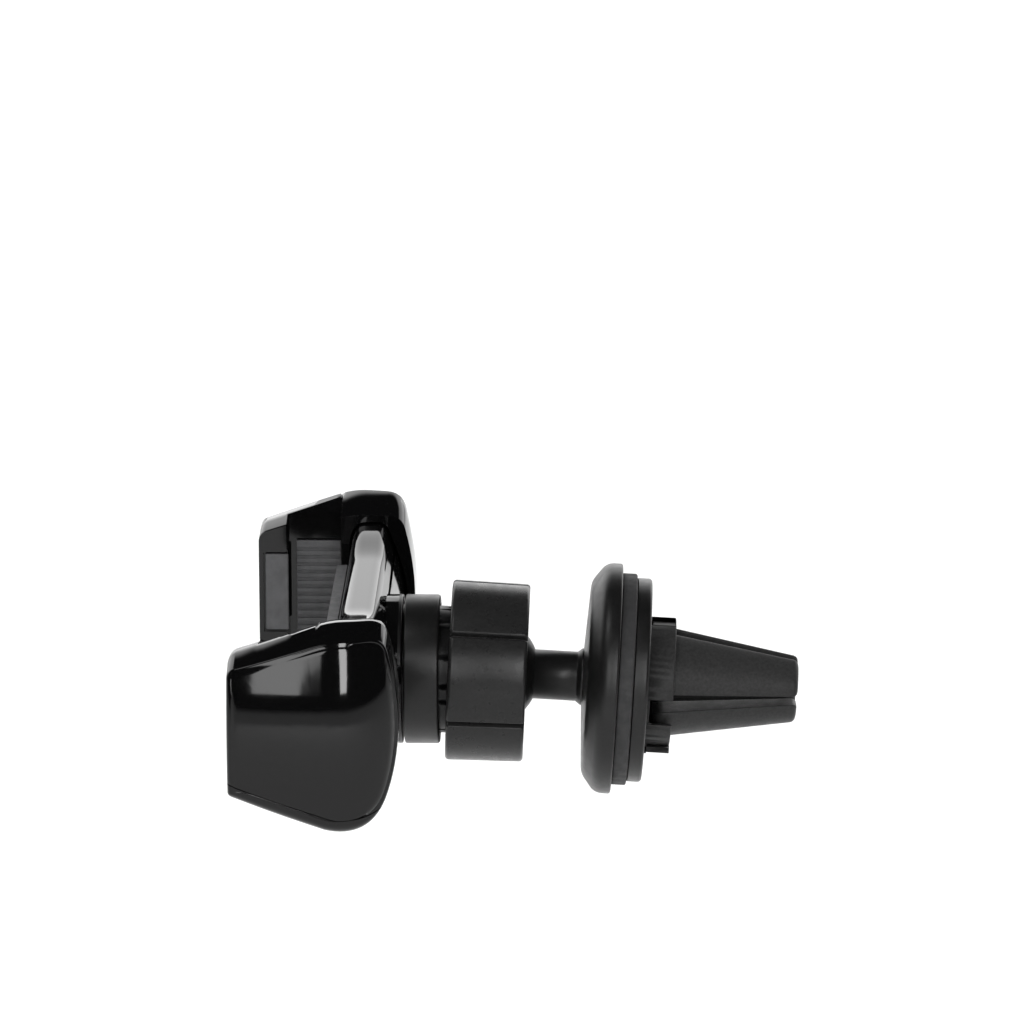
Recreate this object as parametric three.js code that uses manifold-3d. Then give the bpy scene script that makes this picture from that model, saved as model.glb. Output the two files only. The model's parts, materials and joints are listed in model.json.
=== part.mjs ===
// Vent-clip phone mount. Millimetres, +Z up.
// The origin is the centre of the face that the phone's back rests on. -X points from there to the
// phone, +X to the air vent, and the two clamp arms slide along Y.
import * as THREE from "three";
import { mergeVertices } from "three/addons/utils/BufferGeometryUtils.js";
import Module from "manifold-3d";

const wasm = await Module();
wasm.setup();

// ---- Driving dimensions ----

const GAP = 0.3; // clearance between pieces that touch
const PHONE_WIDTH = 71.5; // the phone that the arms hold at rest
const PHONE_DEPTH = 7.4;
// Each arm slides 5.8 outwards and 3.5 inwards from rest, and the lengths below leave room for both.

// Arms. Distances from the middle plane are given for one arm and mirrored for the other.
const ARM_INNER = 30.2; // wall behind the phone
const ARM_OUTER = 44.0;
const ARM_WALL = 1.0;
const ARM_RIDGE = { y: 37.6, lift: 2.1 }; // the roof-shaped top's highest line
const ARM_CREASE = 40.8; // where the roof meets the bulging outer face
const TUNNEL_END = 40.3; // how deep the body can run into an arm
const LIP_REACH = 32.5; // where the lip's tip ends, in front of the phone
const LIP_FRONT = -12.6;
const SCREW_OFFSET = 4.2; // height of a rack screw above and below the pinion's axis
const PAD = 0.6;
const ARM_TOP = 15.8;

// Holder body
const BODY_HALF = 36.5;
const BODY_WALL = 1.3;
const BODY_FRONT = 1.9;
const SEAM_X = 8.7; // parting line between the front shell and the back cover
const GEAR_Z = 2.3; // height of the pinion's axis
const RACK_FRONT = 3.6;
const RACK_BACK = 6.3;
const RACK_DEPTH = 3.2;

// Gear
const TEETH = 10;
const MODULE = 1.0;
const PITCH_RADIUS = (TEETH * MODULE) / 2;
const TOOTH_PITCH = Math.PI * MODULE;

// Ball joint
const BALL = { x: 23, z: -0.3 };
const BALL_RADIUS = 8.5;
const SOCKET_TILT = 2.5; // degrees that the socket leans from the holder's axis
const CLIP_TILT = 3.2; // degrees that the vent side leans from the holder's axis
const BOSS_RADIUS = 11.15;
const BOSS_END = 11.1;
const NECK_RADIUS = 9.5;
const COLLAR = { start: 11.4, end: 16.6 };
const NUT = { start: -5.1, end: 6.5, radius: 13.65, lobes: 6, turn: 21 };

// Vent side, along its own axis from the ball's centre
const STEM_RADIUS = 3.7;
const DISC = { front: 14.9, capEnd: 20.0, sealEnd: 22.0, plateEnd: 24.2 };
const CAP_RADIUS = 17.25;
const SEAL_RADIUS = 15.85;
const PLATE_RADIUS = 15.25;
const FINGER = { start: 25.5, end: 47.0, baseRadius: 8.5, tipRadius: 4.9 };

// ---- Materials ----

const colours = {
  pianoBlack: [0x0b0b0c, 0.12, 0],
  satinBlack: [0x1a1a1b, 0.42, 0],
  texturedBlack: [0x202021, 0.55, 0],
  rubber: [0x3a3a3c, 0.8, 0],
  acetal: [0xd8d6cf, 0.45, 0],
  steel: [0x9fa2a6, 0.3, 1],
};

function material(name) {
  const [color, roughness, metalness] = colours[name];
  return new THREE.MeshStandardMaterial({ color, roughness, metalness });
}

// ---- Solids ----

function signedVolume(positions, indices) {
  const [a, b, c] = [new THREE.Vector3(), new THREE.Vector3(), new THREE.Vector3()];
  let total = 0;
  for (let i = 0; i < indices.length; i += 3) {
    a.fromArray(positions, indices[i] * 3);
    b.fromArray(positions, indices[i + 1] * 3);
    c.fromArray(positions, indices[i + 2] * 3);
    total += a.dot(b.cross(c));
  }
  return total / 6;
}

// A geometry as a closed solid, with its faces pointing outwards.
function solid(geometry) {
  const bare = geometry.clone();
  bare.deleteAttribute("normal");
  bare.deleteAttribute("uv");
  const merged = mergeVertices(bare, 1e-4);
  const positions = Float32Array.from(merged.attributes.position.array);
  const kept = [];
  const index = merged.index.array;
  for (let i = 0; i < index.length; i += 3) {
    const [p, q, r] = [index[i], index[i + 1], index[i + 2]];
    if (p !== q && q !== r && r !== p) kept.push(p, q, r);
  }
  const triangles = Uint32Array.from(kept);
  if (signedVolume(positions, triangles) < 0) {
    for (let i = 0; i < triangles.length; i += 3) {
      [triangles[i], triangles[i + 1]] = [triangles[i + 1], triangles[i]];
    }
  }
  const mesh = new wasm.Mesh({ numProp: 3, vertProperties: positions, triVerts: triangles });
  return new wasm.Manifold(mesh);
}

function join(...solids) {
  return solids.reduce((sum, next) => sum.add(next));
}

function cut(body, ...tools) {
  return tools.reduce((left, tool) => left.subtract(tool), body);
}

function geometryOf(body) {
  const mesh = body.getMesh();
  const geometry = new THREE.BufferGeometry();
  const positions = new Float32Array(mesh.numVert * 3);
  for (let i = 0; i < mesh.numVert; i += 1) {
    for (let k = 0; k < 3; k += 1) {
      positions[3 * i + k] = mesh.vertProperties[mesh.numProp * i + k];
    }
  }
  geometry.setAttribute("position", new THREE.BufferAttribute(positions, 3));
  geometry.setIndex(new THREE.BufferAttribute(Uint32Array.from(mesh.triVerts), 1));
  return geometry;
}

// A box from its low and high corners.
function block(low, high) {
  const size = low.map((value, i) => high[i] - value);
  const middle = low.map((value, i) => (high[i] + value) / 2);
  return solid(new THREE.BoxGeometry(...size).translate(...middle));
}

// An XZ outline, swept from y0 to y1.
function slab(shape, y0, y1) {
  const points = outlinePoints(shape);
  return loft([{ points, y: y0 }, { points, y: y1 }]);
}

// A skin over XZ outlines that have the same number of points, each at its own y.
function loft(sections) {
  const count = sections[0].points.length;
  const positions = sections.flatMap(({ points, y }) => points.flatMap((p) => [p.x, y, p.y]));
  const index = [];
  for (let s = 0; s + 1 < sections.length; s += 1) {
    for (let i = 0; i < count; i += 1) {
      const next = (i + 1) % count;
      const [a, b] = [s * count + i, s * count + next];
      index.push(a, b, b + count, a, b + count, a + count);
    }
  }
  const lid = THREE.ShapeUtils.triangulateShape(sections[0].points, []);
  const last = (sections.length - 1) * count;
  const flip = THREE.ShapeUtils.isClockWise(sections[0].points);
  for (const [a, b, c] of lid) {
    if (flip) index.push(a, b, c, last + a, last + c, last + b);
    else index.push(a, c, b, last + a, last + b, last + c);
  }
  const geometry = new THREE.BufferGeometry();
  geometry.setAttribute("position", new THREE.Float32BufferAttribute(positions, 3));
  geometry.setIndex(index);
  return solid(geometry);
}

// A YZ outline, swept along X from x0 over the depth.
function sweepX(shape, x0, depth) {
  const sweep = new THREE.ExtrudeGeometry(shape, { depth, bevelEnabled: false });
  const toXAxis = new THREE.Matrix4().set(0, 0, 1, x0, 1, 0, 0, 0, 0, 1, 0, 0, 0, 0, 0, 1);
  return solid(sweep.applyMatrix4(toXAxis));
}

// A solid of revolution about the X axis, from [x, radius] points that close on themselves
// or start and end on the axis.
function turned(points, segments = 40) {
  const profile = points.map(([x, radius]) => new THREE.Vector2(radius, x));
  const closed = points[0][1] > 0;
  if (closed) profile.push(profile[0].clone());
  return solid(new THREE.LatheGeometry(profile, segments).rotateZ(-Math.PI / 2));
}

function ring(x0, x1, inner, outer, segments = 40) {
  return turned([[x0, inner], [x1, inner], [x1, outer], [x0, outer]], segments);
}

function rod(x0, x1, radius, segments = 16) {
  return turned([[x0, 0], [x0, radius], [x1, radius], [x1, 0]], segments);
}

// Points on a circle about [centreX, 0], as [x, radius], from one angle to another in degrees.
function arc(centreX, radius, from, to, steps) {
  const points = [];
  for (let i = 0; i <= steps; i += 1) {
    const angle = THREE.MathUtils.degToRad(from + ((to - from) * i) / steps);
    points.push([centreX + radius * Math.cos(angle), radius * Math.abs(Math.sin(angle))]);
  }
  return points;
}

function ball(centreX, radius, segments = 28) {
  const points = arc(centreX, radius, 180, 0, segments / 2);
  points[0][1] = 0;
  points[points.length - 1][1] = 0;
  return turned(points, segments);
}

function mirrored(body) {
  return solid(geometryOf(body).scale(1, -1, 1));
}

function moved(body, x, y, z) {
  return body.translate([x, y, z]);
}

const product = new THREE.Group();

function add(group, name, body, materialName) {
  const mesh = new THREE.Mesh(geometryOf(body), material(materialName));
  mesh.name = name;
  group.add(mesh);
}

// ---- Outlines in the XZ plane ----

function armOutline() {
  const shape = new THREE.Shape();
  shape.moveTo(LIP_FRONT, 10.6);
  shape.quadraticCurveTo(LIP_FRONT, 11.6, LIP_FRONT + 1.0, 11.9);
  shape.lineTo(-0.5, 15.1);
  shape.quadraticCurveTo(1.8, ARM_TOP, 4.0, ARM_TOP);
  shape.lineTo(7.4, ARM_TOP);
  shape.quadraticCurveTo(9.6, ARM_TOP, 10.3, 13.4);
  shape.bezierCurveTo(12.3, 6.0, 12.5, -1.0, 9.9, -7.8);
  shape.bezierCurveTo(8.3, -11.8, 5.5, -13.6, 1.0, -12.2);
  shape.lineTo(LIP_FRONT + 0.8, -7.4);
  shape.quadraticCurveTo(LIP_FRONT, -7.1, LIP_FRONT, -6.2);
  shape.closePath();
  return shape;
}

// The body's cross-section. It runs through both arms, so it is a little smaller than their inside.
function bodyOutline() {
  const shape = new THREE.Shape();
  shape.moveTo(BODY_FRONT, -8.2);
  shape.lineTo(BODY_FRONT, 10.6);
  shape.quadraticCurveTo(2.2, 13.8, 3.9, 14.4);
  shape.lineTo(6.3, 14.4);
  shape.quadraticCurveTo(7.3, 14.2, 7.9, 12.2);
  shape.bezierCurveTo(9.4, 8.6, 10.4, 5.0, 10.4, 1.5);
  shape.bezierCurveTo(10.3, -3.0, 9.2, -7.2, 7.3, -9.1);
  shape.quadraticCurveTo(6.9, -9.5, 6.3, -9.5);
  shape.lineTo(3.4, -9.5);
  shape.quadraticCurveTo(2.0, -9.5, BODY_FRONT, -8.2);
  return shape;
}

function outlinePoints(shape) {
  const points = shape.getPoints(7);
  if (points[0].distanceTo(points[points.length - 1]) < 1e-6) points.pop();
  return points;
}

function distanceToOutline(point, outline) {
  const distances = outline.map((start, i) => {
    const along = outline[(i + 1) % outline.length].clone().sub(start);
    const share = point.clone().sub(start).dot(along) / along.lengthSq();
    const nearest = along.multiplyScalar(THREE.MathUtils.clamp(share, 0, 1)).add(start);
    return nearest.distanceTo(point);
  });
  return Math.min(...distances);
}

// The same outline moved inwards (or outwards, where the distance is negative).
// Points that a tight corner would fold over are left out.
function inset(shape, distance) {
  const points = outlinePoints(shape);
  const turn = THREE.ShapeUtils.isClockWise(points) ? -1 : 1;
  const count = points.length;
  const shifted = points.map((point, i) => {
    const before = point.clone().sub(points[(i + count - 1) % count]).normalize();
    const after = points[(i + 1) % count].clone().sub(point).normalize();
    const normal = new THREE.Vector2(-before.y - after.y, before.x + after.x).normalize();
    const spread = Math.max(0.5, normal.dot(new THREE.Vector2(-after.y, after.x)));
    return normal.multiplyScalar((turn * distance) / spread).add(point);
  });
  const limit = Math.abs(distance) - 0.02;
  const kept = [];
  for (const point of shifted) {
    const last = kept[kept.length - 1];
    const apart = !last || last.distanceTo(point) > 0.15;
    if (apart && distanceToOutline(point, points) > limit) kept.push(point);
  }
  return new THREE.Shape(kept);
}

// Everything below the seam of an arm's lower cover, moved down by a clearance.
function belowSeam(clearance) {
  const z = -clearance;
  const shape = new THREE.Shape();
  shape.moveTo(LIP_FRONT - 2, -4.3 + z);
  shape.lineTo(0.4, -9.4 + z);
  shape.quadraticCurveTo(4.6, -11.4 + z, 9.0, -9.0 + z);
  shape.lineTo(14, -6.4 + z);
  shape.lineTo(14, -20);
  shape.lineTo(LIP_FRONT - 2, -20);
  shape.closePath();
  return shape;
}

// ---- Arms ----

// The space that the phone takes, with the arm's wall and lip left around it.
function phoneSpace() {
  const wall = PHONE_WIDTH / 2 + PAD + GAP;
  const lipBack = -PHONE_DEPTH - PAD - GAP;
  const behindPhone = 0.4;
  const side = block([lipBack, 0, -30], [behindPhone, wall, 30]);
  const front = block([LIP_FRONT - 5, 0, -30], [behindPhone, LIP_REACH, 30]);
  return join(side, front);
}

// The arm's outer form: a roof that rises from the inner wall to its ridge and falls to a crease,
// then a face that bulges out to the middle.
function armForm() {
  const outline = outlinePoints(armOutline());
  const middle = new THREE.Vector2(-0.5, 2.0);
  const section = (y, lift, share) => ({
    y,
    points: outline.map((point) => {
      const raised = new THREE.Vector2(point.x, point.y + lift * Math.max(0, (point.y - 5) / 10.8));
      return middle.clone().lerp(raised, share);
    }),
  });
  const bulge = [1, 0.93, 0.8, 0.6, 0.35].map((share) => {
    const y = ARM_CREASE + (ARM_OUTER - ARM_CREASE) * (1 - share ** 2) / (1 - 0.35 ** 2);
    return section(y, 0, share);
  });
  return loft([section(ARM_INNER, 0, 1), section(ARM_RIDGE.y, ARM_RIDGE.lift, 1), ...bulge]);
}

function armShell() {
  const hollow = slab(inset(armOutline(), ARM_WALL), ARM_INNER + 1.2, TUNNEL_END - GAP);
  // The hollow stays behind the phone and its side wall, and it runs forward inside the lip.
  const wallFace = PHONE_WIDTH / 2 + PAD + GAP + ARM_WALL;
  const lipFace = -PHONE_DEPTH - PAD - GAP - ARM_WALL;
  const keepSide = block([lipFace, 0, -30], [1.4, wallFace, 30]);
  const keepLip = block([LIP_FRONT - 5, 0, -30], [1.4, LIP_REACH + 1.6, 30]);
  const tunnel = slab(inset(bodyOutline(), -GAP), ARM_INNER - 5, TUNNEL_END);
  const rackPocket = block([RACK_FRONT - 0.4, ARM_INNER, -7.5], [RACK_BACK + 0.4, 42.0, 12.1]);
  const recess = block([-11.9, LIP_REACH - 2, -3.6], [-8.0, LIP_REACH + 0.9, 9.2]);
  const holes = rackScrewHeights().map((z) =>
    moved(rod(0, 1.5, 0.95, 12).rotate([0, 0, 90]), 4.95, 41.7, z)
  );
  return cut(
    armForm(),
    phoneSpace(),
    cut(hollow, keepSide, keepLip),
    tunnel,
    rackPocket,
    recess,
    slab(belowSeam(-GAP / 2), 0, 60),
    ...holes
  );
}

function armCover() {
  return cut(armForm().intersect(slab(belowSeam(GAP / 2), 0, 60)), phoneSpace());
}

function rackScrewHeights() {
  return [GEAR_Z - SCREW_OFFSET, GEAR_Z + SCREW_OFFSET];
}

// A rack: a straight bar with teeth that face the pinion, and an upright that carries the arm.
// side is 1 where the bar runs above the pinion and -1 below it.
function rack(side) {
  const innerEnd = -15;
  const postStart = 39.6;
  const postEnd = 41.6;
  const pitchZ = PITCH_RADIUS;
  const root = pitchZ + 1.2 * MODULE;
  const bar = block([RACK_FRONT, innerEnd, root], [RACK_BACK, postStart + 0.5, root + RACK_DEPTH]);
  const post = block([RACK_FRONT, postStart, -7.6], [RACK_BACK, postEnd, root + RACK_DEPTH]);
  // A tooth stands opposite the pinion's axis, and the rest are counted from it both ways.
  const teeth = [];
  for (let i = -4; i <= 5; i += 1) teeth.push(rackTooth(i * TOOTH_PITCH, pitchZ, root));
  const holes = rackScrewHeights().map((z) =>
    moved(rod(-1, 4, 0.95, 12).rotate([0, 0, 90]), 4.95, 38.6, (z - GEAR_Z) * side)
  );
  const body = cut(join(bar, post, ...teeth), ...holes);
  const flipped = side > 0 ? body : solid(geometryOf(body).scale(1, 1, -1));
  return moved(flipped, 0, 0, GEAR_Z);
}

function rackTooth(y, pitchZ, root) {
  const halfRoot = 1.12;
  const halfTip = 0.42;
  const tip = pitchZ - 0.75 * MODULE;
  const outline = new THREE.Shape([
    new THREE.Vector2(y - halfRoot, root + 0.1),
    new THREE.Vector2(y + halfRoot, root + 0.1),
    new THREE.Vector2(y + halfTip, tip),
    new THREE.Vector2(y - halfTip, tip),
  ]);
  return sweepX(outline, RACK_FRONT, RACK_BACK - RACK_FRONT);
}

function sidePad() {
  const face = PHONE_WIDTH / 2;
  const body = block([-6.9, face, -4.2], [0, face + PAD, 10.2]);
  const grooves = [];
  for (let z = -2.4; z < 10; z += 2.4) {
    grooves.push(block([-8, face - 1, z - 0.25], [2, face + 0.25, z + 0.25]));
  }
  return cut(body, ...grooves);
}

function lipPad() {
  return block([-11.6, LIP_REACH, -3.3], [-8.0, LIP_REACH + 0.6, 8.9]);
}

// A pan-head screw along +Y: a slotted head, then the shank.
function screwAlongY(headRadius, headHeight, shankRadius, length) {
  const head = rod(-headHeight, 0, headRadius, 12);
  const shank = rod(-0.1, length, shankRadius, 10);
  const slot = block([-headHeight - 1, -0.25, -headRadius], [-headHeight * 0.5, 0.25, headRadius]);
  return cut(join(head, shank), slot).rotate([0, 0, 90]);
}

function addArm(name, side) {
  const group = new THREE.Group();
  // The arm at +Y is the model, and the arm at -Y is its mirror image.
  const place = (body) => (side > 0 ? body : mirrored(body));
  add(group, `${name}_arm_shell`, place(armShell()), "pianoBlack");
  add(group, `${name}_arm_lower_cover`, place(armCover()), "pianoBlack");
  add(group, `${name}_rack`, place(rack(side > 0 ? -1 : 1)), "acetal");
  add(group, `${name}_side_pad`, place(sidePad()), "rubber");
  add(group, `${name}_lip_pad`, place(lipPad()), "rubber");
  rackScrewHeights().forEach((z, i) => {
    const screw = moved(screwAlongY(1.5, 0.7, 0.7, 3.4), 4.95, 39.3, z);
    add(group, `${name}_rack_screw_${i + 1}`, place(screw), "steel");
  });
  product.add(group);
}

// ---- Holder body ----

const screwPosts = [-26, -12, 12, 26];

function shellTube() {
  const outside = slab(bodyOutline(), -BODY_HALF, BODY_HALF);
  const hollow = slab(inset(bodyOutline(), BODY_WALL), -BODY_HALF - 1, BODY_HALF + 1);
  return cut(outside, hollow);
}

function frontShell() {
  const behindSeam = block([SEAM_X - GAP / 2, -60, -30], [30, 60, 30]);
  const posts = screwPosts.map((y) => moved(rod(BODY_FRONT + 0.5, 8.2, 1.9, 12), 0, y, GEAR_Z));
  const holes = screwPosts.map((y) => moved(rod(4.5, 9, 1.0, 12), 0, y, GEAR_Z));
  const pinSeat = moved(ring(BODY_FRONT + 0.5, RACK_FRONT + 0.5, 1.5, 2.6, 16), 0, 0, GEAR_Z);
  return cut(join(cut(shellTube(), behindSeam), ...posts, pinSeat), ...holes);
}

// The back cover carries the boss, and the slotted socket that the ball sits in.
function backCover() {
  const inFront = block([-30, -60, -30], [SEAM_X + GAP / 2, 60, 30]);
  const cover = cut(shellTube(), inFront);
  const boss = turned([[9.0, 0], [9.0, BOSS_RADIUS], [BOSS_END, BOSS_RADIUS], [BOSS_END, 0]], 36);
  const screwHoles = screwPosts.map((y) => moved(rod(7, 14, 1.0, 12), 0, y, GEAR_Z));
  const headSeats = screwPosts.map((y) => moved(rod(9.55, 14, 1.8, 12), 0, y, GEAR_Z));
  const outside = turned([
    [-12.6, 0], [-12.6, NECK_RADIUS], [-5.2, NECK_RADIUS], [-4.6, 10.0], [2.2, 10.0], [2.2, 0],
  ], 32);
  const cavity = ball(0, BALL_RADIUS + 0.35);
  const mouth = rod(1.5, 4, 8.85, 28);
  const seatSpace = cut(ball(0, 10.1), block([-6.4, -20, -20], [20, 20, 20]));
  const recess = join(seatSpace, rod(-11.5, -8, 4.5, 20));
  const slots = [0, 90].map((turn) =>
    block([-4.5, -15, -0.7], [4, 15, 0.7]).rotate([turn, 0, 0])
  );
  const socket = cut(outside, cavity, mouth, recess, ...slots);
  const leaning = moved(socket.rotate([0, SOCKET_TILT, 0]), BALL.x, 0, BALL.z);
  const recessHere = moved(recess.rotate([0, SOCKET_TILT, 0]), BALL.x, 0, BALL.z);
  return cut(join(cover, boss, leaning), recessHere, ...screwHoles, ...headSeats);
}

function cradlePad() {
  return block([0, -24, -6.5], [BODY_FRONT - GAP, 24, 9.5]);
}

function collarRing() {
  const { start, end } = COLLAR;
  const edge = 0.4;
  return turned([
    [start, NECK_RADIUS + 0.45], [end, NECK_RADIUS + 0.45], [end, BOSS_RADIUS - edge],
    [end - edge, BOSS_RADIUS], [start + edge / 2, BOSS_RADIUS], [start, BOSS_RADIUS - edge / 2],
  ], 36);
}

// An involute-like pinion: trapezoid teeth on a hub.
function pinion() {
  const rootRadius = PITCH_RADIUS - 1.25 * MODULE;
  const tipRadius = PITCH_RADIUS + 0.75 * MODULE;
  const points = [];
  for (let i = 0; i < TEETH; i += 1) {
    const middle = (i * 2 * Math.PI) / TEETH;
    const corners = [[-0.2, rootRadius], [-0.075, tipRadius], [0.075, tipRadius], [0.2, rootRadius]];
    for (const [turn, radius] of corners) {
      points.push(new THREE.Vector2(
        radius * Math.cos(middle + turn * 1.15),
        radius * Math.sin(middle + turn * 1.15)
      ));
    }
  }
  const wheel = sweepX(new THREE.Shape(points), RACK_FRONT + 1.1, RACK_BACK - RACK_FRONT - 1.2);
  const hub = rod(RACK_BACK - 0.3, RACK_BACK + 0.8, 2.6, 20);
  const bore = rod(0, 12, 1.35, 16);
  return moved(cut(join(wheel, hub), bore), 0, 0, GEAR_Z);
}

// A flat spiral of spring strip around the pinion's pin.
function returnSpring() {
  const turns = 2.2;
  const steps = 36;
  const strip = 0.35;
  const at = (radius, angle) =>
    new THREE.Vector2(radius * Math.cos(angle), radius * Math.sin(angle));
  const inner = [];
  const outer = [];
  for (let i = 0; i <= steps; i += 1) {
    const angle = (turns * 2 * Math.PI * i) / steps;
    const radius = 1.9 + (1.1 * angle) / (2 * Math.PI);
    inner.push(at(radius, angle));
    outer.unshift(at(radius + strip, angle));
  }
  const width = 0.7;
  const coil = sweepX(new THREE.Shape([...inner, ...outer]), RACK_BACK + 1.1, width);
  return moved(coil, 0, 0, GEAR_Z);
}

function housingScrew(y) {
  const head = rod(9.7, 10.3, 1.5, 12);
  const shank = rod(4.9, 9.8, 0.75, 10);
  const slot = block([10.0, -0.25, -2], [12, 0.25, 2]);
  return moved(cut(join(head, shank), slot), 0, y, GEAR_Z);
}

function addHolder() {
  add(product, "front_shell", frontShell(), "pianoBlack");
  add(product, "back_cover", backCover(), "satinBlack");
  add(product, "cradle_pad", cradlePad(), "rubber");
  add(product, "collar_ring", collarRing(), "satinBlack");
  add(product, "pinion", pinion(), "acetal");
  add(product, "pinion_pin", moved(rod(RACK_FRONT, 8.9, 1.05, 16), 0, 0, GEAR_Z), "steel");
  add(product, "return_spring", returnSpring(), "steel");
  screwPosts.forEach((y, i) => {
    add(product, `housing_screw_${i + 1}`, housingScrew(y), "steel");
  });
}

// ---- Ball joint, in the socket's own frame: +X along the socket, from the ball's centre ----

function clampNut() {
  const { start, end, radius, lobes } = NUT;
  const firstGroove = THREE.MathUtils.degToRad(NUT.turn);
  const grooveRadius = 0.93 * radius;
  const points = [];
  const perLobe = 8;
  for (let lobe = 0; lobe < lobes; lobe += 1) {
    for (let i = 0; i < perLobe; i += 1) {
      const along = i / perLobe;
      const angle = firstGroove + ((lobe + along) * 2 * Math.PI) / lobes;
      const bulge = Math.sin(Math.PI * along) ** 0.5;
      const reach = grooveRadius + (radius - grooveRadius) * bulge;
      points.push(new THREE.Vector2(reach * Math.cos(angle), reach * Math.sin(angle)));
    }
  }
  const outside = sweepX(new THREE.Shape(points), start, end - start);
  const bore = rod(start - 1, end - 1.7, 10.35, 40);
  const mouth = turned([
    [0, 0], [0, 6.7], [end - 1.1, 6.7], [end, 7.7], [end + 1, 8.6], [end + 1, 0],
  ], 40);
  const taper = turned([
    [start - 1, 0], [start - 1, radius - 0.4], [start + 0.5, radius + 0.2],
    [end - 0.3, radius], [end + 1, radius - 0.6], [end + 1, 0],
  ], 48);
  const ballSpace = ball(0, BALL_RADIUS + GAP);
  return cut(outside.intersect(taper), bore, mouth, ballSpace);
}

function frictionRing() {
  const bar = ring(2.6, 4.4, 6, 10.0, 40);
  return cut(bar, ball(0, BALL_RADIUS + GAP));
}

// The seat is a thin cup, round about the ball's centre on both of its faces.
function ballSeat() {
  const halfAngle = 26;
  return turned([
    ...arc(0, 9.65, 180, 180 - halfAngle, 6),
    ...arc(0, BALL_RADIUS + GAP, 180 - halfAngle, 180, 6),
  ], 28);
}

function seatCushion() {
  return cut(rod(-11.2, -8.5, 4.2, 20), ball(0, 9.95));
}

function addBallJoint() {
  const group = new THREE.Group();
  group.position.set(BALL.x, 0, BALL.z);
  group.rotation.y = THREE.MathUtils.degToRad(SOCKET_TILT);
  add(group, "clamp_nut", clampNut(), "satinBlack");
  add(group, "friction_ring", frictionRing(), "acetal");
  add(group, "ball_seat", ballSeat(), "acetal");
  add(group, "seat_cushion", seatCushion(), "rubber");
  product.add(group);
}

// ---- Vent side, in its own frame: +X along the stem, from the ball's centre ----

function ballStud() {
  const { front } = DISC;
  const neck = Math.sqrt(BALL_RADIUS ** 2 - STEM_RADIUS ** 2);
  const neckAngle = THREE.MathUtils.radToDeg(Math.atan2(STEM_RADIUS, neck));
  const sphere = arc(0, BALL_RADIUS, 180, neckAngle, 12);
  sphere[0][1] = 0;
  return turned([
    ...sphere,
    [front - 0.9, STEM_RADIUS], [front - 0.2, STEM_RADIUS + 0.5],
    [front + 2.2, STEM_RADIUS + 0.5], [front + 2.2, 7.5], [front + 3.8, 7.5],
    [front + 3.8, 1.6], [front - 2, 1.6], [front - 2, 0],
  ], 24);
}

function domeCap() {
  const { front, capEnd } = DISC;
  const hole = STEM_RADIUS + 0.8;
  const wall = 1.5;
  const corner = 2.6;
  const rimStart = capEnd - 2.1;
  const outer = [[front, hole], [front + 0.7, CAP_RADIUS - corner]];
  for (let i = 1; i <= 4; i += 1) {
    const angle = (i / 4) * (Math.PI / 2);
    outer.push([
      rimStart - (rimStart - front - 0.7) * Math.cos(angle),
      CAP_RADIUS - corner + corner * Math.sin(angle),
    ]);
  }
  const inner = [
    [capEnd, CAP_RADIUS], [capEnd, CAP_RADIUS - wall], [rimStart, CAP_RADIUS - wall],
    [front + 0.7 + wall, CAP_RADIUS - corner - 0.6], [front + wall, hole],
  ];
  return turned([...outer, ...inner], 44);
}

function sealRing() {
  return ring(DISC.capEnd + GAP, DISC.sealEnd, 8.0, SEAL_RADIUS, 44);
}

function basePlate() {
  const { sealEnd, plateEnd } = DISC;
  const edge = 0.5;
  return turned([
    [sealEnd + GAP, 1.6], [plateEnd, 1.6], [plateEnd, PLATE_RADIUS - edge],
    [plateEnd - edge, PLATE_RADIUS], [sealEnd + GAP, PLATE_RADIUS],
  ], 44);
}

// The clip's base: a flange, a half sleeve over the upper fingers, and a tab at the top and bottom.
function clipBase() {
  const start = DISC.plateEnd + GAP;
  const end = 28.4;
  const flange = ring(start, start + 0.5, 1.6, 9.4, 40);
  const lower = block([start - 1, -20, -20], [end + 1, 20, -0.2]);
  const sleeve = cut(ring(start + 0.2, end, 8.9, 9.6, 40), lower);
  const topTab = block([start, -2.4, 9.2], [end, 2.4, 10.9]);
  const topGroove = block([start + 0.8, -0.5, 10.2], [end + 1, 0.5, 12]);
  const bottomTab = block([start, -4.6, -10.6], [end - 0.4, 4.6, -9.0]);
  const bottomFoot = block([start, -4.6, -10.0], [start + 0.5, 4.6, -6.0]);
  return cut(join(flange, sleeve, topTab, bottomTab, bottomFoot), topGroove);
}

function finger(up, side) {
  const { start, end, baseRadius, tipRadius } = FINGER;
  const round = 0.7;
  const slope = (baseRadius - tipRadius) / (end - start);
  const cone = turned([
    [start, 0], [start, baseRadius], [end - round, tipRadius + slope * round],
    [end, tipRadius - round], [end, 0],
  ], 44);
  const halfSlot = { base: 1.5, tip: 1.0 };
  const wedge = new THREE.Shape();
  wedge.moveTo(start - 1, halfSlot.base);
  wedge.lineTo(end + 1, halfSlot.tip);
  wedge.lineTo(end + 1, 20);
  wedge.lineTo(start - 1, 20);
  wedge.closePath();
  const sideSpace = new THREE.ExtrudeGeometry(wedge, { depth: 40, bevelEnabled: false });
  sideSpace.translate(0, 0, -20);
  const beside = solid(side > 0 ? sideSpace : sideSpace.scale(1, -1, 1));
  const drop = up ? [0.15, 0.15] : [2.7, 1.0];
  const half = new THREE.Shape();
  const sign = up ? 1 : -1;
  half.moveTo(start - 1, sign * drop[0]);
  half.lineTo(end + 1, sign * drop[1]);
  half.lineTo(end + 1, sign * 20);
  half.lineTo(start - 1, sign * 20);
  half.closePath();
  const vertical = slab(half, -20, 20);
  return cut(cone.intersect(beside).intersect(vertical), rod(start - 1, start + 2.2, 3.1, 16));
}

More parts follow.
